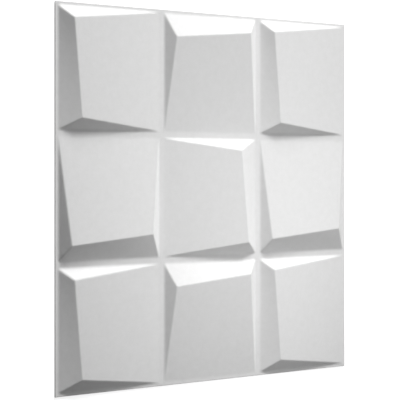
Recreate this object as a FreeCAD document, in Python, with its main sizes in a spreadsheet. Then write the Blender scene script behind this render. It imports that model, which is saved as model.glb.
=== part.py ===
import FreeCAD, Part
import os
import Sketcher
from FreeCAD import Placement, Rotation, Vector

# Wall panel tile with a block relief
#
# A square tile moulded from one sheet of even thickness.
# Nine tilted blocks stand out of its face, three rows of three.
# All nine are one block in four quarter turns.
#
# The panel lies flat: its back rests on z = 0 and its face looks up.
# The origin is the middle of the back.
# Lengths are in millimetres.

doc = FreeCAD.newDocument("relief_panel")

# Driving dimensions

sheet = doc.addObject("Spreadsheet::Sheet", "sizes")

DIMENSIONS = [
    ("panel_side", "500", "outer side of the square panel"),
    ("cells_each_way", "3", "blocks along each side"),
    ("sheet_thickness", "1.2", "thickness of the moulded sheet, taken upright"),
    ("groove_width", "9", "flat groove between two blocks"),
    ("ridge_rise", "9.6", "height of the ridge at its steep end above the groove"),
    ("steep_inset", "19", "ridge set in from the raised side at its steep end"),
    ("gentle_inset", "31", "ridge set in from the raised side at its gentle end"),
    ("side_inset", "15", "ridge ends set in from the two slanting sides"),
    ("ridge_radius", "5", "rounding of the ridge, the hips and the facet edges"),
    ("skirt", "0.3", "depth the block runs on below its base line"),
    ("headroom", "2", "height of the blank above the ridge"),
    ("overrun", "0.5", "share by which the raised wall's cut passes the wall"),
]
for row, (alias, value, meaning) in enumerate(DIMENSIONS, start=1):
    sheet.set(f"A{row}", meaning)
    sheet.set(f"B{row}", value)
    sheet.setAlias(f"B{row}", alias)

DERIVED = [
    ("cell_pitch", "=panel_side / cells_each_way", "pitch of the blocks"),
    ("footprint", "=cell_pitch - groove_width", "side of one block at its base"),
    ("half_foot", "=footprint / 2", "half of that side"),
    ("facet_fall", "=ridge_rise / (footprint - steep_inset)", "slope of the top facet"),
    ("gentle_rise", "=facet_fall * (footprint - gentle_inset)", "ridge height, gentle end"),
    ("ridge_run", "=footprint - 2 * side_inset", "length of the ridge along the side"),
    ("ridge_skew", "=(gentle_inset - steep_inset) / ridge_run", "skew of the ridge"),
    ("ridge_sink", "=(ridge_rise - gentle_rise) / ridge_run", "fall along the ridge"),
    ("blank_top", "=ridge_rise + headroom", "top of the blank"),
]
first_derived = len(DIMENSIONS) + 1
for row, (alias, formula, meaning) in enumerate(DERIVED, start=first_derived):
    sheet.set(f"A{row}", meaning)
    sheet.set(f"B{row}", formula)
    sheet.setAlias(f"B{row}", alias)
doc.recompute()


def size(alias):
    return float(sheet.get(alias))


def linked(expression):
    """Put the sheet's name before every alias in an expression."""
    words = sorted([entry[0] for entry in DIMENSIONS + DERIVED], key=len, reverse=True)
    text = expression
    for number, word in enumerate(words):
        text = text.replace(word, f"<{number}>")
    for number, word in enumerate(words):
        text = text.replace(f"<{number}>", f"sizes.{word}")
    return text


def evaluated(expression):
    """Work out an expression of aliases with the sheet's present values."""
    cell = "D1"
    sheet.set(cell, f"={expression}")
    sheet.recompute()
    value = float(sheet.get(cell))
    sheet.clear(cell)
    return value


def origin_plane(body, role):
    return next(item for item in body.Origin.OriginFeatures if item.Role == role)


def new_sketch(body, name, role):
    sketch = body.newObject("Sketcher::SketchObject", name)
    sketch.AttachmentSupport = [(origin_plane(body, role), "")]
    sketch.MapMode = "FlatFace"
    return sketch


def closed_outline(sketch, corners):
    """Draw straight sides through corners given as pairs of expressions."""
    points = [Vector(evaluated(across), evaluated(up), 0) for across, up in corners]
    count = len(points)
    first = sketch.GeometryCount
    for index, start in enumerate(points):
        sketch.addGeometry(Part.LineSegment(start, points[(index + 1) % count]), False)
    for index, (across, up) in enumerate(corners):
        here = first + index
        after = first + (index + 1) % count
        sketch.addConstraint(Sketcher.Constraint("Coincident", here, 2, after, 1))
        for kind, expression in (("DistanceX", across), ("DistanceY", up)):
            rule = Sketcher.Constraint(kind, -1, 1, here, 1, evaluated(expression))
            position = sketch.addConstraint(rule)
            sketch.setExpression(f"Constraints[{position}]", linked(expression))


# One block, raised along its left side
#
# Its base is square. The ridge stands near the left side and lies askew,
# so the wall under it twists from a steep end to a gentle end.
# The top facet is flat and falls to the groove along the right side.

block = doc.addObject("PartDesign::Body", "tilted_block")

blank_sketch = new_sketch(block, "blank_outline", "XY_Plane")
closed_outline(blank_sketch, [
    ("-cell_pitch / 2", "-cell_pitch / 2"),
    ("cell_pitch / 2", "-cell_pitch / 2"),
    ("cell_pitch / 2", "cell_pitch / 2"),
    ("-cell_pitch / 2", "cell_pitch / 2"),
])
blank_sketch.setExpression("AttachmentOffset.Base.z", linked("-skirt"))
blank = block.newObject("PartDesign::Pad", "blank")
blank.Profile = blank_sketch
blank.setExpression("Length", linked("blank_top + skirt"))

# Top facet: everything above a plane falling to the right

facet_sketch = new_sketch(block, "above_facet", "XZ_Plane")
closed_outline(facet_sketch, [
    ("cell_pitch", "-facet_fall * (cell_pitch - half_foot)"),
    ("cell_pitch", "2 * blank_top"),
    ("-cell_pitch", "2 * blank_top"),
    ("-cell_pitch", "facet_fall * (cell_pitch + half_foot)"),
])
facet_cut = block.newObject("PartDesign::Pocket", "facet_cut")
facet_cut.Profile = facet_sketch
facet_cut.Type = "ThroughAll"
facet_cut.Midplane = True

# Slanting sides: outside a plane through each end of the ridge

sides_sketch = new_sketch(block, "outside_slanting_sides", "YZ_Plane")
gentle_slope = "(gentle_rise / side_inset)"
steep_slope = "(ridge_rise / side_inset)"
closed_outline(sides_sketch, [
    ("-half_foot - 2 * skirt / " + gentle_slope, "-2 * skirt"),
    ("-half_foot + 2 * blank_top / " + gentle_slope, "2 * blank_top"),
    ("-cell_pitch", "2 * blank_top"),
    ("-cell_pitch", "-2 * skirt"),
])
closed_outline(sides_sketch, [
    ("half_foot + 2 * skirt / " + steep_slope, "-2 * skirt"),
    ("cell_pitch", "-2 * skirt"),
    ("cell_pitch", "2 * blank_top"),
    ("half_foot - 2 * blank_top / " + steep_slope, "2 * blank_top"),
])
sides_cut = block.newObject("PartDesign::Pocket", "sides_cut")
sides_cut.Profile = sides_sketch
sides_cut.Type = "ThroughAll"
sides_cut.Midplane = True

# Raised wall: outside a face ruled from the base line to the skew ridge


def wall_section(name, along):
    """Draw the space outside the raised wall, seen along the wall."""
    sketch = new_sketch(block, name, "XZ_Plane")
    sketch.setExpression("AttachmentOffset.Base.z", linked(f"-({along})"))
    inset = f"((steep_inset + gentle_inset) / 2 - ridge_skew * ({along}))"
    rise = f"((ridge_rise + gentle_rise) / 2 + ridge_sink * ({along}))"
    low = (f"-half_foot - overrun * {inset}", f"-overrun * {rise}")
    high = (f"-half_foot + (1 + overrun) * {inset}", f"(1 + overrun) * {rise}")
    closed_outline(sketch, [low, high, ("-cell_pitch", high[1]), ("-cell_pitch", low[1])])
    return sketch


gentle_section = wall_section("wall_at_gentle_end", "-cell_pitch / 2")
steep_section = wall_section("wall_at_steep_end", "cell_pitch / 2")
wall_cut = block.newObject("PartDesign::SubtractiveLoft", "raised_wall_cut")
wall_cut.Profile = gentle_section
wall_cut.Sections = [steep_section]
wall_cut.Ruled = True

# Rounded ridge, hips and facet edges: every edge above the block's underside

doc.recompute()
upper_edges = []
for number, edge in enumerate(wall_cut.Shape.Edges, start=1):
    if max(vertex.Point.z for vertex in edge.Vertexes) > 0:
        upper_edges.append(f"Edge{number}")
rounded = block.newObject("PartDesign::Fillet", "rounded_ridges")
rounded.Base = (wall_cut, upper_edges)
rounded.setExpression("Radius", linked("ridge_radius"))
block.Tip = rounded
doc.recompute()

# The flat sheet that carries the blocks, its back on z = 0

flat_sheet = doc.addObject("Part::Box", "flat_sheet")
flat_sheet.setExpression("Length", linked("panel_side"))
flat_sheet.setExpression("Width", linked("panel_side"))
flat_sheet.setExpression("Height", linked("sheet_thickness"))
flat_sheet.setExpression("Placement.Base.x", linked("-panel_side / 2"))
flat_sheet.setExpression("Placement.Base.y", linked("-panel_side / 2"))

# The side each block is raised on, row by row from the top of the panel

RAISED_SIDES = [
    ("left", "top", "left"),
    ("bottom", "right", "bottom"),
    ("left", "top", "left"),
]
QUARTER_TURNS = {"left": 0, "bottom": 90, "right": 180, "top": 270}


def set_blocks(surface, level):
    """Place the nine blocks with their base lines at one level."""
    placed = []
    middle = "(cells_each_way - 1) / 2"
    for row, sides in enumerate(RAISED_SIDES):
        for column, side in enumerate(sides):
            copy = doc.addObject("App::Link", f"{surface}_block_{row + 1}_{column + 1}")
            copy.LinkedObject = block
            turn = Rotation(Vector(0, 0, 1), QUARTER_TURNS[side])
            copy.Placement = Placement(Vector(0, 0, 0), turn)
            copy.setExpression("Placement.Base.x", linked(f"({column} - {middle}) * cell_pitch"))
            copy.setExpression("Placement.Base.y", linked(f"({middle} - {row}) * cell_pitch"))
            copy.setExpression("Placement.Base.z", linked(level))
            placed.append(copy)
    return placed


# The blocks stand on the face and are hollowed out of the back,
# so the sheet keeps one thickness everywhere, measured upright

raised_sheet = doc.addObject("Part::MultiFuse", "raised_sheet")
raised_sheet.Shapes = [flat_sheet] + set_blocks("face", "sheet_thickness")
hollows = doc.addObject("Part::Compound", "hollows")
hollows.Links = set_blocks("back", "0")
panel = doc.addObject("Part::Cut", "moulded_sheet")
panel.Label = "relief_panel"
panel.Base = raised_sheet
panel.Tool = hollows
doc.recompute()

# Every object has to be sound before the part is written

for item in doc.Objects:
    if "Invalid" in item.State or "Error" in item.State:
        raise RuntimeError(f"{item.Name} did not build: {item.State}")
    shape = getattr(item, "Shape", None)
    is_datum = item.TypeId.startswith("App::") and not item.TypeId.startswith("App::Link")
    if shape is None or is_datum:
        continue
    if shape.isNull() or not shape.isValid():
        raise RuntimeError(f"{item.Name} has no valid shape")

if len(panel.Shape.Solids) != 1:
    raise RuntimeError("the panel is not one solid")
even_volume = size("panel_side") ** 2 * size("sheet_thickness")
if abs(panel.Shape.Volume / even_volume - 1) > 1e-4:
    raise RuntimeError("the sheet is not of even thickness")

os.makedirs("parts", exist_ok=True)
for node in [panel]:
    node.Shape.exportStep(f"parts/{node.Label}.step")
    box = node.Shape.optimalBoundingBox()
    print(node.Label, round(node.Shape.Volume), "mm3")
    print("size", round(box.XLength, 3), round(box.YLength, 3), round(box.ZLength, 3))
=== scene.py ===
"""Looks of a moulded relief wall panel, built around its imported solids.

The panel is one sheet of white moulded plant fibre. Nine tilted blocks stand out of its face,
each a quarter turn of one design, and the back is hollow behind them. It lies on its back with
the relief up, and the camera looks down on it at the angle of the photograph.

Lengths are in metres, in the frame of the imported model: +Z out of the face, +Y to the top edge.
"""

import logging
import math
from dataclasses import dataclass, field
from enum import Enum

import bpy
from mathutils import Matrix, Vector
from mathutils.geometry import delaunay_2d_cdt


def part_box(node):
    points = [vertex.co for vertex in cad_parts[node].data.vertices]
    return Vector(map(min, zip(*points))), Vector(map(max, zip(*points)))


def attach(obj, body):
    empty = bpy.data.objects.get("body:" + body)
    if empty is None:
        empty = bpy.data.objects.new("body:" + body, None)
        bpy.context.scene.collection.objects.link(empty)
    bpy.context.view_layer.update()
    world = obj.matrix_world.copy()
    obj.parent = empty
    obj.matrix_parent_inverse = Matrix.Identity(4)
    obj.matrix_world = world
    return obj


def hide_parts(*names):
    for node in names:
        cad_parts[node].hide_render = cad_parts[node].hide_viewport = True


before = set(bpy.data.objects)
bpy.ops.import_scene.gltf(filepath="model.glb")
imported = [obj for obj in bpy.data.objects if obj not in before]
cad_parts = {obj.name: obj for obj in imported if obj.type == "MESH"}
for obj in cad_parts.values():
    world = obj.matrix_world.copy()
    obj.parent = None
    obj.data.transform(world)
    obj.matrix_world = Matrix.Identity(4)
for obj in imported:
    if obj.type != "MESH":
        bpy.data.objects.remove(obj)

logging.basicConfig(level=logging.INFO, format="%(name)s: %(message)s")
LOG = logging.getLogger("relief_panel")

MM = 0.001
BODY = "root"
# Point attribute for worn places; on the face's ridges and hips its darker tint is painted shade.
WORN_AND_SHADED = "worn_and_shaded"
SAME_PLACE = 0.001 * MM
TRIANGLES_TO_RIM = 0
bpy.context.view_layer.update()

Span = tuple[float, float]
Spot = tuple[float, float, float]
Colour = tuple[float, float, float, float]


class RaisedSide(Enum):
    """Side on which a block stands up, as quarter turns from the left side."""

    LEFT = 0
    BOTTOM = 1
    RIGHT = 2
    TOP = 3


class Zone(Enum):
    """Part of the sheet's surface, as a material slot."""

    FACE = 0
    BACK = 1
    EDGE = 2


ROWS_FROM_TOP = (
    (RaisedSide.LEFT, RaisedSide.TOP, RaisedSide.LEFT),
    (RaisedSide.BOTTOM, RaisedSide.RIGHT, RaisedSide.BOTTOM),
    (RaisedSide.LEFT, RaisedSide.TOP, RaisedSide.LEFT),
)


def quarter_turned(point: Vector, turns: int) -> Vector:
    """Turn a plan point about the origin.

    Args:
        point: The point, seen from above.
        turns: Quarter turns, anticlockwise.

    Returns:
        The turned point.
    """
    turned = point.copy()
    for _ in range(turns % len(RaisedSide)):
        turned = Vector((-turned.y, turned.x))
    return turned


def square_corners(half: float) -> list[Vector]:
    """Plan corners of a square about the origin.

    Args:
        half: Half the side of the square.

    Returns:
        The corners, anticlockwise from the lower left.
    """
    return [Vector((-half, -half)), Vector((half, -half)), Vector((half, half)), Vector((-half, half))]


def square_sides(half: float) -> list[tuple[Vector, Vector]]:
    """Plan sides of a square about the origin.

    Args:
        half: Half the side of the square.

    Returns:
        Start and end of each side, anticlockwise from the lower one.
    """
    corners = square_corners(half)
    return list(zip(corners, corners[1:] + corners[:1]))


@dataclass(frozen=True)
class Rise:
    """Height of a face at one plan point, with its slopes across (+X) and up (+Y)."""

    height: float
    across: float
    up: float

    def normal_in_plan(self) -> Vector:
        """Plan part of the face's unit normal."""
        return Vector((-self.across, -self.up)) / math.sqrt(1 + self.across ** 2 + self.up ** 2)

    def rolled_into(self, other: "Rise", radius: float) -> "Rise":
        """Lower of two faces, joined by a rounding of one radius.

        Args:
            other: The other face.
            radius: Radius of the rounding, seen square to the crease.

        Returns:
            Height and slopes of the joined faces.
        """
        bend = math.hypot(self.across - other.across, self.up - other.up)
        width = radius * (self.normal_in_plan() - other.normal_in_plan()).length
        softness = width * bend / 2
        lower, upper = (self, other) if self.height <= other.height else (other, self)
        if upper.height - lower.height >= softness:
            return lower
        blend = softness - (upper.height - lower.height)
        share = blend / (2 * softness)
        return Rise(
            lower.height - blend * blend / (4 * softness),
            lower.across + share * (upper.across - lower.across),
            lower.up + share * (upper.up - lower.up),
        )


@dataclass(frozen=True)
class TiltedBlock:
    """One block, raised along its left side, centred on the origin.

    The ridge stands near the left side and lies askew. The wall outside it twists from a steep
    end to a gentle end, and the top facet falls from it to the groove along the right side.
    """

    half_foot: float
    ridge_rise: float = 9.6 * MM
    steep_inset: float = 19 * MM
    gentle_inset: float = 31 * MM
    side_inset: float = 15 * MM
    ridge_radius: float = 5.7 * MM
    root_reach: float = 2.2 * MM
    full_rounding: float = 0.25 * MM

    @property
    def facet_fall(self) -> float:
        """Slope of the top facet."""
        return self.ridge_rise / (2 * self.half_foot - self.steep_inset)

    @property
    def gentle_rise(self) -> float:
        """Height of the ridge at its gentle end."""
        return self.facet_fall * (2 * self.half_foot - self.gentle_inset)

    @property
    def steep_end(self) -> Vector:
        """Plan point of the ridge's steep end."""
        return Vector((self.steep_inset - self.half_foot, self.half_foot - self.side_inset))

    @property
    def gentle_end(self) -> Vector:
        """Plan point of the ridge's gentle end."""
        return Vector((self.gentle_inset - self.half_foot, self.side_inset - self.half_foot))

    @property
    def end_reach(self) -> float:
        """Distance along the wall from the block's middle to either end of the ridge."""
        return self.half_foot - self.side_inset

    def raised_wall(self, point: Vector) -> Rise:
        """Twisted wall outside the ridge, ruled from the straight foot line to the skew ridge.

        Args:
            point: Plan point measured from the block's middle.

        Returns:
            The wall's height and slopes at the point.
        """
        share = (point.y + self.end_reach) / (2 * self.end_reach)
        gain = self.ridge_rise - self.gentle_rise
        widening = self.steep_inset - self.gentle_inset
        rise = self.gentle_rise + share * gain
        inset = self.gentle_inset + share * widening
        slope = rise / inset
        twist = (gain - slope * widening) / (inset * 2 * self.end_reach)
        out = point.x + self.half_foot
        return Rise(out * slope, slope, out * twist)

    def faces(self, point: Vector) -> list[Rise]:
        """Four faces of the block, each carried on beyond its edges.

        Args:
            point: Plan point measured from the block's middle.

        Returns:
            The faces at that point, from the lowest up.
        """
        steep_side = self.ridge_rise / self.side_inset
        gentle_side = self.gentle_rise / self.side_inset
        faces = [
            self.raised_wall(point),
            Rise((self.half_foot - point.x) * self.facet_fall, -self.facet_fall, 0.0),
            Rise((self.half_foot - point.y) * steep_side, 0.0, -steep_side),
            Rise((self.half_foot + point.y) * gentle_side, 0.0, gentle_side),
        ]
        return sorted(faces, key=lambda face: face.height)

    def crest(self, point: Vector) -> Rise:
        """Block with rounded ridges and crisp feet.

        Args:
            point: Plan point measured from the block's middle.

        Returns:
            The height above the groove, negative outside the foot lines, and its slopes.
        """
        lowest, *others = self.faces(point)
        for face in others:
            lowest = lowest.rolled_into(face, self.ridge_radius)
        return lowest

    def rounding(self, point: Vector) -> float:
        """How far a point lies inside the rounding of a ridge or hip.

        Args:
            point: Plan point measured from the block's middle.

        Returns:
            0 on a flat face or in the groove, up to 1 on top of a ridge.
        """
        sharp = self.faces(point)[0].height
        if sharp <= 0.0:
            return 0.0
        return min(1.0, (sharp - self.crest(point).height) / self.full_rounding)

    def height(self, point: Vector) -> float:
        """Height of the block with rounded ridges and eased feet.

        Args:
            point: Plan point measured from the block's middle.

        Returns:
            The height, zero in the groove.
        """
        crest = self.crest(point)
        softness = self.root_reach * max(math.hypot(crest.across, crest.up), self.facet_fall)
        blend = max(softness - abs(crest.height), 0.0)
        return max(crest.height, 0.0) + blend * blend / (4 * softness)


def spaced(start: Vector, end: Vector, pitch: float) -> list[Vector]:
    """Even points along a straight line, both ends included.

    Args:
        start: First plan point.
        end: Last plan point.
        pitch: Greatest distance between neighbours.

    Returns:
        The points in order.
    """
    steps = max(1, math.ceil((end - start).length / pitch))
    return [start.lerp(end, step / steps) for step in range(steps + 1)]


@dataclass(frozen=True)
class GuideLine:
    """A crease of one block in plan, with the width over which it is rounded."""

    start: Vector
    end: Vector
    half_width: float
    strands_each_side: int = 3

    def strands(self) -> list[tuple[Vector, Vector]]:
        """Lines beside the crease that carry its rounding.

        Returns:
            Start and end of each strand, from one side of the crease to the other.
        """
        along = (self.end - self.start).normalized()
        across = Vector((-along.y, along.x)) * self.half_width
        count = self.strands_each_side
        offsets = [across * share / count for share in range(-count, count + 1)]
        return [(self.start + offset, self.end + offset) for offset in offsets]

    def distance(self, point: Vector) -> float:
        """Plan distance from a point to the crease.

        Args:
            point: The plan point.

        Returns:
            The distance to the nearest point of the crease.
        """
        span = self.end - self.start
        share = max(0.0, min(1.0, (point - self.start).dot(span) / span.length_squared))
        return (point - self.start - span * share).length


@dataclass
class MouldedPanel:
    """The moulded sheet: face, hollow back and cut edge as one mesh."""

    side: float
    thickness: float = 1.2 * MM
    cells_each_way: int = 3
    groove_width: float = 9 * MM
    arris: float = 0.4 * MM
    arris_margin: float = 1.2 * MM
    mesh_pitch: float = 6 * MM
    row_stagger: float = 0.25
    merge_within: float = 0.02 * MM
    clear_of_creases: float = 3.6 * MM
    hip_width_share: float = 0.38
    ridge_width_share: float = 0.31
    resting_height: float = 0.3 * MM
    facet_weight: int = 100
    block: TiltedBlock = field(init=False)

    def __post_init__(self) -> None:
        """Set the block out inside its cell."""
        self.block = TiltedBlock(half_foot=(self.cell_pitch - self.groove_width) / 2)

    @property
    def cell_pitch(self) -> float:
        """Distance between the middles of neighbouring blocks."""
        return self.side / self.cells_each_way

    @property
    def rim_reach(self) -> float:
        """Half the side of the face inside its rounded arris."""
        return self.side / 2 - self.arris

    def cell_middle(self, row: int, column: int) -> Vector:
        """Middle of a cell in plan.

        Args:
            row: Row counted from the top edge.
            column: Column counted from the left edge.

        Returns:
            The middle, measured from the middle of the panel.
        """
        centre = (self.cells_each_way - 1) / 2
        return Vector(((column - centre) * self.cell_pitch, (centre - row) * self.cell_pitch))

    def on_block(self, point: Vector) -> Vector:
        """Carry a point of the panel over to the design of its block.

        Args:
            point: Plan point measured from the panel's middle.

        Returns:
            The plan point measured from the block's middle, with the raised side on the left.
        """
        last = self.cells_each_way - 1
        column = min(last, max(0, int((point.x + self.side / 2) // self.cell_pitch)))
        row = min(last, max(0, int((self.side / 2 - point.y) // self.cell_pitch)))
        turns = ROWS_FROM_TOP[row][column].value
        return quarter_turned(point - self.cell_middle(row, column), -turns)

    def worn_and_shaded_share(self, local: Vector, height: float) -> tuple[float, float]:
        """How much wear and painted shade the sheet gets at a point.

        Args:
            local: Plan point measured from the block's middle.
            height: Height of the back at that point.

        Returns:
            The share on the face, full on a ridge, where it stands for painted shade as well as wear, and on
            the back, full where it rests on the wall and is rubbed.
        """
        return self.block.rounding(local), max(0.0, 1.0 - height / self.resting_height)

    def creases(self) -> list[GuideLine]:
        """Every crease of the face in plan.

        Returns:
            The foot lines, hips, ridges and facet edges of all the blocks.
        """
        block = self.block
        lower_left, lower_right, upper_right, upper_left = square_corners(block.half_foot)
        hip_width = self.hip_width_share * block.ridge_radius
        ridge_width = self.ridge_width_share * block.ridge_radius
        lines = [GuideLine(start, end, block.root_reach) for start, end in square_sides(block.half_foot)]
        lines += [
            GuideLine(upper_left, block.steep_end, hip_width),
            GuideLine(lower_left, block.gentle_end, hip_width),
            GuideLine(block.steep_end, block.gentle_end, ridge_width),
            GuideLine(block.steep_end, upper_right, ridge_width),
            GuideLine(block.gentle_end, lower_right, ridge_width),
        ]
        placed = []
        for row, sides in enumerate(ROWS_FROM_TOP):
            for column, side in enumerate(sides):
                middle = self.cell_middle(row, column)
                for line in lines:
                    ends = [quarter_turned(end, side.value) + middle for end in (line.start, line.end)]
                    placed.append(GuideLine(ends[0], ends[1], line.half_width))
        return placed

    def plan_points(self) -> tuple[list[Vector], list[tuple[int, int]]]:
        """Plan points of the face with the edges that its rim and creases fix.

        Returns:
            The points, and pairs of their indices that stay joined.
        """
        reach = self.rim_reach
        creases = self.creases()
        lines = square_sides(reach) + square_sides(reach - self.arris_margin)
        for crease in creases:
            lines += crease.strands()
        points: list[Vector] = []
        fixed: list[tuple[int, int]] = []
        for start, end in lines:
            first = len(points)
            points += spaced(start, end, self.mesh_pitch)
            fixed += [(number, number + 1) for number in range(first, len(points) - 1)]
        steps = int(2 * reach / self.mesh_pitch)
        inner = reach - self.clear_of_creases
        for across in range(1, steps):
            for up in range(1, steps):
                stagger = self.row_stagger if up % 2 else -self.row_stagger
                x = -reach + (across + stagger) * 2 * reach / steps
                y = -reach + up * 2 * reach / steps
                point = Vector((x, y))
                inside = max(abs(point.x), abs(point.y)) < inner
                if inside and all(crease.distance(point) > self.clear_of_creases for crease in creases):
                    points.append(point)
        return points, fixed

    def build(self) -> bpy.types.Object:
        """Make the panel's mesh.

        Returns:
            The panel as an object with smooth faces, each marked with the slot of its zone.
        """
        points, fixed = self.plan_points()
        plan, _, triangles, *_ = delaunay_2d_cdt(points, fixed, [], TRIANGLES_TO_RIM, self.merge_within)
        places = [self.on_block(point) for point in plan]
        heights = [self.thickness + self.block.height(place) for place in places]
        shares = [self.worn_and_shaded_share(place, height - self.thickness) for place, height in zip(places, heights)]
        count = len(plan)
        verts = [(point.x, point.y, height) for point, height in zip(plan, heights)]
        verts += [(point.x, point.y, height - self.thickness) for point, height in zip(plan, heights)]
        faces = [tuple(triangle) for triangle in triangles]
        faces += [tuple(count + corner for corner in reversed(triangle)) for triangle in triangles]
        slots = [Zone.FACE.value] * len(triangles) + [Zone.BACK.value] * len(triangles)
        rim = self.rim_loop(triangles)
        rings = [rim]
        for outset, height in self.edge_profile():
            ring = []
            for corner in rim:
                x, y = (self.pushed_out(value, outset) for value in plan[corner])
                ring.append(len(verts))
                verts.append((x, y, height))
            rings.append(ring)
        rings.append([count + corner for corner in rim])
        for upper, lower in zip(rings, rings[1:]):
            for step in range(len(rim)):
                after = (step + 1) % len(rim)
                faces.append((upper[after], upper[step], lower[step], lower[after]))
                slots.append(Zone.EDGE.value)
        mesh = bpy.data.meshes.new("moulded_panel")
        mesh.from_pydata(verts, [], faces)
        mesh.polygons.foreach_set("material_index", slots)
        mesh.shade_smooth()
        mesh.update()
        # Share per vertex: on the face it places painted shade along the ridges and hips besides wear, the
        # back's lands are worn, and the edge counts as fully worn.
        worn_and_shaded = [face for face, _ in shares] + [back for _, back in shares]
        worn_and_shaded += [1.0] * (len(verts) - len(worn_and_shaded))
        mesh.attributes.new(WORN_AND_SHADED, "FLOAT", "POINT").data.foreach_set("value", worn_and_shaded)
        panel = bpy.data.objects.new("moulded_panel", mesh)
        bpy.context.scene.collection.objects.link(panel)
        weighted = panel.modifiers.new("even_facets", "WEIGHTED_NORMAL")
        weighted.mode = "FACE_AREA"
        weighted.weight = self.facet_weight
        return panel

    @staticmethod
    def rim_loop(triangles: list[list[int]]) -> list[int]:
        """Vertices round the outside of the face, in order.

        Args:
            triangles: Corner indices of the face's triangles.

        Returns:
            The loop of indices, anticlockwise seen from above.
        """
        edges = {}
        for triangle in triangles:
            for first, second in zip(triangle, triangle[1:] + triangle[:1]):
                edges[(first, second)] = True
        after = {first: second for first, second in edges if (second, first) not in edges}
        start = next(iter(after))
        loop = [start]
        while after[loop[-1]] != start:
            loop.append(after[loop[-1]])
        return loop

    def edge_profile(self) -> list[Span]:
        """Section of the cut edge from the face down to the back.

        Returns:
            Pairs of outset and height, with a small rounded arris at each end.
        """
        half_turned = math.radians(45)
        turned = self.arris * math.sin(half_turned)
        dropped = self.arris * (1 - math.cos(half_turned))
        upper = [(turned, self.thickness - dropped), (self.arris, self.thickness - self.arris)]
        return upper + [(self.arris, self.arris), (turned, dropped)]

    def pushed_out(self, value: float, outset: float) -> float:
        """Move a coordinate of the rim outwards.

        Args:
            value: The coordinate.
            outset: Distance to move by.

        Returns:
            The new coordinate, unchanged where it isn't on the outside.
        """
        outside = abs(abs(value) - self.rim_reach) < SAME_PLACE
        return value + math.copysign(outset, value) if outside else value

    def dress(self, panel: bpy.types.Object) -> None:
        """Give each zone of the panel its finish.

        Args:
            panel: The panel's object.
        """
        groups = SurfaceGroups()
        for zone in Zone:
            panel.data.materials.append(FINISHES[zone].material(groups))


@dataclass(frozen=True)
class NodeBench:
    """Adds and joins nodes in one node tree."""

    tree: bpy.types.NodeTree

    def add(self, kind: str, settings: dict[str, object] | None = None, **sockets: object) -> bpy.types.Node:
        """Add a node.

        Args:
            kind: The node's type.
            settings: Its own settings, by name.
            **sockets: Input values or output sockets to join, by the input's name with
                underscores for spaces.

        Returns:
            The new node.
        """
        node = self.tree.nodes.new(kind)
        for name, value in (settings or {}).items():
            setattr(node, name, value)
        for name, value in sockets.items():
            self.feed(node, name.replace("_", " "), value)
        return node

    def feed(self, node: bpy.types.Node, name: str | int, value: object) -> None:
        """Set or join one input.

        Args:
            node: The node.
            name: Name or number of the input.
            value: A plain value, or an output socket to join.
        """
        if isinstance(value, bpy.types.NodeSocket):
            self.tree.links.new(value, node.inputs[name])
        else:
            node.inputs[name].default_value = value

    def worked_out(self, kind: str, operation: str, *values: object) -> bpy.types.NodeSocket:
        """Add a node that does one sum.

        Args:
            kind: The node's type.
            operation: The sum.
            *values: Numbers, vectors or sockets for its inputs in order.

        Returns:
            Its output.
        """
        node = self.add(kind, {"operation": operation})
        for number, value in enumerate(values):
            self.feed(node, number, value)
        return node.outputs[0]

    def math(self, operation: str, *values: object) -> bpy.types.NodeSocket:
        """Result of one sum on numbers."""
        return self.worked_out("ShaderNodeMath", operation, *values)

    def vector(self, operation: str, *values: object) -> bpy.types.NodeSocket:
        """Result of one sum on vectors."""
        return self.worked_out("ShaderNodeVectorMath", operation, *values)

    def noise(self, dimensions: str, **sockets: object) -> bpy.types.Node:
        """Add a noise texture.

        Args:
            dimensions: 3D or 4D.
            **sockets: Its inputs, as for add.

        Returns:
            The new node.
        """
        return self.add("ShaderNodeTexNoise", {"noise_dimensions": dimensions}, **sockets)

    def bump(self, height: object, distance: float, **sockets: object) -> bpy.types.NodeSocket:
        """Add a Bump node at full strength.

        Args:
            height: The height's socket.
            distance: Real height of the bump.
            **sockets: Its other inputs, as for add.

        Returns:
            The bumped normal.
        """
        node = self.add("ShaderNodeBump", Height=height, Distance=distance, Strength=1.0, **sockets)
        return node.outputs[0]

    def between(self, value: object, span: Span, onto: Span = (0.0, 1.0)) -> bpy.types.NodeSocket:
        """Map a value from one range onto another, held at its ends.

        Args:
            value: The socket to map.
            span: Start and end of its range.
            onto: Results at the start and at the end.

        Returns:
            The mapped value.
        """
        node = self.add("ShaderNodeMapRange", {"clamp": True}, Value=value)
        limits = {"From Min": span[0], "From Max": span[1], "To Min": onto[0], "To Max": onto[1]}
        for name, limit in limits.items():
            self.feed(node, name, limit)
        return node.outputs["Result"]

    def tint(self, share: object, first: object, second: object) -> bpy.types.NodeSocket:
        """Mix two colours.

        Args:
            share: Share of the second colour.
            first: Colour or socket.
            second: Colour or socket.

        Returns:
            The mixed colour.
        """
        node = self.add("ShaderNodeMix", {"data_type": "RGBA"})
        share_in, first_in, second_in, colour_out = 0, 6, 7, 2
        for number, value in ((share_in, share), (first_in, first), (second_in, second)):
            self.feed(node, number, value)
        return node.outputs[colour_out]


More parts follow.
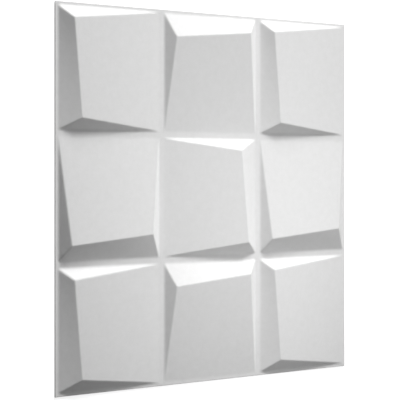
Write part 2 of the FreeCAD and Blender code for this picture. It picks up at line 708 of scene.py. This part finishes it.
@dataclass
class SurfaceGroups:
    """Shader groups that the finishes of the sheet share."""

    directions: int = 5
    uneven_turn: float = 0.3
    layer_spacing: float = 7.0
    bend_scale: float = 140.0
    bend_reach: float = 4 * MM
    noise_middle: Spot = (0.5, 0.5, 0.5)
    strand_span: Span = (0.46, 0.72)
    fleck_span: Span = (0.70, 0.76)
    cloud_span: Span = (0.3, 0.7)
    worn_and_shaded_span: Span = (0.15, 0.9)
    patch_span: Span = (0.35, 0.65)
    least_wear_and_shade: float = 0.4
    fibres: bpy.types.NodeTree = field(init=False)
    clouds: bpy.types.NodeTree = field(init=False)
    wear_and_shade: bpy.types.NodeTree = field(init=False)

    def __post_init__(self) -> None:
        """Build the three groups."""
        self.fibres = self.matted_fibres()
        self.clouds = self.pulp_clouds()
        self.wear_and_shade = self.worn_and_shaded_places()

    @staticmethod
    def start(name: str, numbers: list[str], outputs: list[str]) -> tuple[bpy.types.NodeTree, NodeBench]:
        """Make an empty group that takes a Place on the sheet and some numbers.

        Args:
            name: The group's name.
            numbers: Names of its number inputs.
            outputs: Names of its number outputs.

        Returns:
            The group and a bench to build it on.
        """
        group = bpy.data.node_groups.new(name, "ShaderNodeTree")
        group.interface.new_socket("Place", in_out="INPUT", socket_type="NodeSocketVector")
        for direction, labels in (("INPUT", numbers), ("OUTPUT", outputs)):
            for label in labels:
                group.interface.new_socket(label, in_out=direction, socket_type="NodeSocketFloat")
        return group, NodeBench(group)

    def matted_fibres(self) -> bpy.types.NodeTree:
        """Short fibres lying every way in the sheet.

        Returns:
            A group whose Height is 1 on top of a fibre, and whose Fleck marks single dark fibres.
        """
        group, bench = self.start("matted_fibres", ["Fibre Length", "Fibre Width"], ["Height", "Fleck"])
        given = bench.add("NodeGroupInput").outputs
        swirl = bench.noise("3D", Vector=given["Place"], Scale=self.bend_scale, Detail=1.0).outputs["Color"]
        bend = bench.vector("SUBTRACT", swirl, self.noise_middle)
        bend_by = bench.add("ShaderNodeVectorMath", {"operation": "SCALE"}, Scale=self.bend_reach)
        bench.feed(bend_by, 0, bend)
        bent = bench.vector("ADD", given["Place"], bend_by.outputs[0])
        lengthwise = bench.math("DIVIDE", 1.0, given["Fibre Length"])
        crosswise = bench.math("DIVIDE", 1.0, given["Fibre Width"])
        stretch = bench.add("ShaderNodeCombineXYZ", X=lengthwise, Y=crosswise, Z=lengthwise).outputs[0]
        height: object = 0.0
        fleck: object = 0.0
        for number in range(self.directions):
            angle = math.pi * (number + self.uneven_turn * (number % 2)) / self.directions
            turn = bench.add("ShaderNodeVectorRotate", {"rotation_type": "Z_AXIS"}, Vector=bent, Angle=angle)
            placed = bench.vector("MULTIPLY", turn.outputs[0], stretch)
            layer = bench.noise("4D", Vector=placed, W=self.layer_spacing * number, Scale=1.0, Detail=2.0,
                                Roughness=0.55).outputs[0]
            height = bench.math("MAXIMUM", height, bench.between(layer, self.strand_span))
            fleck = bench.math("MAXIMUM", fleck, bench.between(layer, self.fleck_span))
        out = bench.add("NodeGroupOutput")
        bench.feed(out, "Height", height)
        bench.feed(out, "Fleck", fleck)
        return group

    def pulp_clouds(self) -> bpy.types.NodeTree:
        """Cloudy differences in how densely the pulp settled.

        Returns:
            A group whose Density runs from 0 to 1 over soft patches.
        """
        group, bench = self.start("pulp_clouds", ["Patch"], ["Density"])
        given = bench.add("NodeGroupInput").outputs
        scale = bench.math("DIVIDE", 1.0, given["Patch"])
        wide = bench.noise("3D", Vector=given["Place"], Scale=scale, Detail=5.0, Roughness=0.62,
                           Distortion=0.3).outputs[0]
        bench.feed(bench.add("NodeGroupOutput"), "Density", bench.between(wide, self.cloud_span))
        return group

    def worn_and_shaded_places(self) -> bpy.types.NodeTree:
        """Patchy wear of the ridges, the edge and the lands of the back, which on the face's ridges and hips
        also places painted shade.

        Returns:
            A group whose PatchyWearAndShade is 0 on untouched fibres and 1 where they are rubbed flat and, on
            the face, painted darker as shade.
        """
        group, bench = self.start("worn_and_shaded_places", ["Rubbed", "Patch"], ["PatchyWearAndShade"])
        given = bench.add("NodeGroupInput").outputs
        scale = bench.math("DIVIDE", 1.0, given["Patch"])
        patches = bench.noise("3D", Vector=given["Place"], Scale=scale, Detail=4.0, Roughness=0.6).outputs[0]
        broken = bench.between(patches, self.patch_span, (self.least_wear_and_shade, 1.0))
        # Mask for real burnish and, on the face's ridges and hips, for painted shade.
        patchy_wear_and_shade = bench.math("MULTIPLY", bench.between(given["Rubbed"], self.worn_and_shaded_span), broken)
        bench.feed(bench.add("NodeGroupOutput"), "PatchyWearAndShade", patchy_wear_and_shade)
        return group


@dataclass(frozen=True)
class FibreFinish:
    """Finish of one zone of the moulded sheet."""

    name: str
    base: Colour
    thin_patch: Colour
    fleck: Colour
    fleck_share: float
    smoothest: float
    roughest: float
    fibre_length: float
    fibre_width: float
    fibre_relief: float
    patch_size: float
    patch_relief: float
    # Tint that worn places mix towards; on the face's ridges and hips this darkening is painted shade.
    worn_and_shaded: Colour
    worn_and_shaded_share: float
    rubbed_gloss: float
    rubbed_relief: float = 0.4
    specular: float = 0.2
    screen_pitch: float = 0.0
    screen_relief: float = 0.0

    def material(self, groups: SurfaceGroups) -> bpy.types.Material:
        """Build the finish as a material.

        Args:
            groups: The shared shader groups.

        Returns:
            The finished material.
        """
        made = bpy.data.materials.new(self.name)
        made.use_nodes = True
        made.node_tree.nodes.clear()
        bench = NodeBench(made.node_tree)
        place = bench.add("ShaderNodeTexCoord").outputs["Object"]
        whole = (0.0, 1.0)
        fibres = bench.add("ShaderNodeGroup", {"node_tree": groups.fibres}, Place=place,
                           Fibre_Length=self.fibre_length, Fibre_Width=self.fibre_width).outputs
        clouds = bench.add("ShaderNodeGroup", {"node_tree": groups.clouds}, Place=place,
                           Patch=self.patch_size).outputs
        worn_and_shaded = bench.add("ShaderNodeAttribute", {"attribute_name": WORN_AND_SHADED}).outputs["Fac"]
        patchy_wear_and_shade = bench.add("ShaderNodeGroup", {"node_tree": groups.wear_and_shade}, Place=place, Rubbed=worn_and_shaded,
                            Patch=self.patch_size).outputs["PatchyWearAndShade"]
        density = clouds["Density"]
        colour = bench.tint(density, self.thin_patch, self.base)
        colour = bench.tint(bench.math("MULTIPLY", fibres["Fleck"], self.fleck_share), colour, self.fleck)
        # Darken the ridges and hips: painted shade on the face, wear on the back and the edge.
        colour = bench.tint(bench.math("MULTIPLY", patchy_wear_and_shade, self.worn_and_shaded_share), colour, self.worn_and_shaded)
        gloss = bench.math("MULTIPLY", density, fibres["Height"])
        gloss = bench.math("MAXIMUM", gloss, bench.math("MULTIPLY", patchy_wear_and_shade, self.rubbed_gloss))
        roughness = bench.between(gloss, whole, (self.roughest, self.smoothest))
        flattened = bench.between(patchy_wear_and_shade, whole, (1.0, self.rubbed_relief))
        strands = bench.math("MULTIPLY", fibres["Height"], flattened)
        shell = bench.add("ShaderNodeBsdfPrincipled", Base_Color=colour, Roughness=roughness,
                          Specular_IOR_Level=self.specular)
        bench.feed(shell, "Normal", self.relief(bench, place, density, strands))
        bench.feed(bench.add("ShaderNodeOutputMaterial"), "Surface", shell.outputs[0])
        return made

    def relief(self, bench: NodeBench, place: bpy.types.NodeSocket, density: bpy.types.NodeSocket,
               strands: bpy.types.NodeSocket) -> bpy.types.NodeSocket:
        """Stack the bumps of the finish from wide to fine.

        Args:
            bench: Bench of the material.
            place: Coordinates on the sheet.
            density: Cloudy density of the pulp.
            strands: Height of the fibres.

        Returns:
            The bumped normal.
        """
        normal = bench.bump(density, self.patch_relief)
        if self.screen_pitch:
            normal = bench.bump(self.screen_marks(bench, place), self.screen_relief, Normal=normal)
        return bench.bump(strands, self.fibre_relief, Normal=normal)

    def screen_marks(self, bench: NodeBench, place: bpy.types.NodeSocket) -> bpy.types.NodeSocket:
        """Print of the forming screen's woven wires.

        Args:
            bench: Bench of the material.
            place: Coordinates on the sheet.

        Returns:
            Height of the print, from 0 under a wire to 1 between wires.
        """
        turns = 2 * math.pi / self.screen_pitch
        split = bench.add("ShaderNodeSeparateXYZ", Vector=place)
        waves = []
        for axis in ("X", "Y"):
            swing = bench.math("SINE", bench.math("MULTIPLY", split.outputs[axis], turns))
            waves.append(bench.between(swing, (-1.0, 1.0)))
        return bench.math("MULTIPLY", waves[0], waves[1])


@dataclass(frozen=True)
class SoftLamp:
    """A square soft light."""

    name: str
    place: Spot
    side: float
    power: float
    aim: Spot = (0.0, 0.0, 0.0)

    def build(self) -> bpy.types.Object:
        """Hang the lamp.

        Returns:
            The lamp, turned towards its aim.
        """
        light = bpy.data.lights.new(self.name, "AREA")
        light.shape = "SQUARE"
        light.size = self.side
        light.energy = self.power
        lamp = bpy.data.objects.new(self.name, light)
        bpy.context.scene.collection.objects.link(lamp)
        lamp.location = self.place
        lamp.rotation_euler = (Vector(self.aim) - Vector(self.place)).to_track_quat("-Z", "Y").to_euler()
        lamp.visible_camera = False
        return lamp


@dataclass
class Studio:
    """Camera, plain floor and soft light."""

    image_side: int = 400
    sensor: float = 36.0
    focal_pixels: float = 1490.2
    principal_row: float = 172.0
    camera_place: Spot = (-1.2596, 0.0340, 1.5929)
    camera_turn: float = math.radians(37.941)
    view_depth: float = 50.0
    floor_side: float = 12.0
    floor_drop: float = 0.2 * MM
    floor_glow: float = 0.72
    floor_shade: Colour = (0.75, 0.75, 0.75, 1.0)
    lamps: tuple[SoftLamp, ...] = (
        SoftLamp("key_from_the_top", place=(0.871, 2.681, 1.026), side=0.5, power=108.7),
        SoftLamp("low_from_the_top", place=(0.0, 1.8, 0.42), side=0.4, power=12.3),
        SoftLamp("front", place=(0.14, -0.12, 0.5), side=0.25, power=1.16),
        SoftLamp("front_left", place=(-0.05, 0.02, 0.5), side=0.25, power=0.175),
    )

    def build(self) -> None:
        """Set up the whole studio."""
        self.camera()
        self.world()
        self.floor()
        for lamp in self.lamps:
            lamp.build()

    def camera(self) -> None:
        """Place the camera at the photograph's angle."""
        lens = bpy.data.cameras.new("camera")
        lens.sensor_width = self.sensor
        lens.lens = self.focal_pixels * self.sensor / self.image_side
        lens.shift_y = (self.principal_row - self.image_side / 2) / self.image_side
        lens.clip_end = self.view_depth
        camera = bpy.data.objects.new("camera", lens)
        bpy.context.scene.collection.objects.link(camera)
        camera.location = self.camera_place
        camera.rotation_euler = (0.0, -self.camera_turn, 0.0)
        bpy.context.scene.camera = camera

    @staticmethod
    def seen_as_white(bench: NodeBench) -> bpy.types.NodeSocket:
        """Mask of the rays that see the plain white background.

        Args:
            bench: Bench of the floor or of the world.

        Returns:
            1 for camera, glossy and transmitted rays, 0 for the others.
        """
        paths = bench.add("ShaderNodeLightPath").outputs
        mirrored = bench.math("MAXIMUM", paths["Is Glossy Ray"], paths["Is Transmission Ray"])
        return bench.math("MAXIMUM", paths["Is Camera Ray"], mirrored)

    def world(self) -> None:
        """Plain white background, seen only by the camera and in reflections."""
        world = bpy.data.worlds.new("studio")
        bpy.context.scene.world = world
        world.use_nodes = True
        world.node_tree.nodes.clear()
        bench = NodeBench(world.node_tree)
        glow = bench.add("ShaderNodeBackground", Strength=self.seen_as_white(bench))
        bench.feed(bench.add("ShaderNodeOutputWorld"), "Surface", glow.outputs[0])

    def floor(self) -> None:
        """White floor just below the panel, which keeps its soft shadow."""
        corners = [(corner.x, corner.y, -self.floor_drop) for corner in square_corners(self.floor_side / 2)]
        mesh = bpy.data.meshes.new("floor")
        mesh.from_pydata(corners, [], [range(len(corners))])
        floor = bpy.data.objects.new("floor", mesh)
        bpy.context.scene.collection.objects.link(floor)
        paint = bpy.data.materials.new("floor")
        paint.use_nodes = True
        paint.node_tree.nodes.clear()
        bench = NodeBench(paint.node_tree)
        shade = bench.add("ShaderNodeBsdfDiffuse", Color=self.floor_shade)
        glow = bench.add("ShaderNodeEmission", Strength=self.floor_glow)
        lit = bench.add("ShaderNodeAddShader")
        bench.feed(lit, 0, shade.outputs[0])
        bench.feed(lit, 1, glow.outputs[0])
        pick = bench.add("ShaderNodeMixShader", Fac=self.seen_as_white(bench))
        bench.feed(pick, 1, shade.outputs[0])
        bench.feed(pick, 2, lit.outputs[0])
        bench.feed(bench.add("ShaderNodeOutputMaterial"), "Surface", pick.outputs[0])
        mesh.materials.append(paint)


FINISHES = {
    Zone.FACE: FibreFinish(
        name="pressed_face", base=(0.80, 0.80, 0.80, 1), thin_patch=(0.77, 0.77, 0.768, 1),
        fleck=(0.70, 0.69, 0.67, 1), fleck_share=0.35, smoothest=0.62, roughest=0.82,
        fibre_length=2.4 * MM, fibre_width=0.16 * MM, fibre_relief=0.035 * MM,
        patch_size=9 * MM, patch_relief=0.05 * MM,
        # Slightly darker ridges and hips: painted shade as well as wear.
        worn_and_shaded=(0.74, 0.738, 0.733, 1), worn_and_shaded_share=0.5, rubbed_gloss=0.9,
    ),
    Zone.BACK: FibreFinish(
        name="screened_back", base=(0.74, 0.735, 0.72, 1), thin_patch=(0.69, 0.68, 0.66, 1),
        fleck=(0.55, 0.52, 0.47, 1), fleck_share=0.5, smoothest=0.8, roughest=0.95,
        fibre_length=2.8 * MM, fibre_width=0.2 * MM, fibre_relief=0.05 * MM,
        patch_size=7 * MM, patch_relief=0.12 * MM, screen_pitch=1.3 * MM, screen_relief=0.09 * MM,
        worn_and_shaded=(0.66, 0.65, 0.62, 1), worn_and_shaded_share=0.6, rubbed_gloss=0.8,
    ),
    Zone.EDGE: FibreFinish(
        name="cut_edge", base=(0.74, 0.735, 0.725, 1), thin_patch=(0.66, 0.65, 0.63, 1),
        fleck=(0.55, 0.52, 0.47, 1), fleck_share=0.6, smoothest=0.85, roughest=0.97,
        fibre_length=1.6 * MM, fibre_width=0.18 * MM, fibre_relief=0.08 * MM,
        patch_size=2 * MM, patch_relief=0.15 * MM,
        worn_and_shaded=(0.7, 0.69, 0.67, 1), worn_and_shaded_share=0.3, rubbed_gloss=0.5,
    ),
}


def main() -> None:
    """Build the panel and the studio, and report each piece."""
    low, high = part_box("relief_panel")
    panel_shape = MouldedPanel(side=high.x - low.x)
    panel = panel_shape.build()
    panel_shape.dress(panel)
    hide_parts("relief_panel")
    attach(panel, BODY)
    LOG.info("moulded panel: %d faces, side %.1f mm", len(panel.data.polygons), panel_shape.side / MM)
    Studio().build()
    bpy.context.scene.view_settings.view_transform = "Standard"
    LOG.info("studio: camera, floor and lamps are in place")


if __name__ == "__main__":
    main()
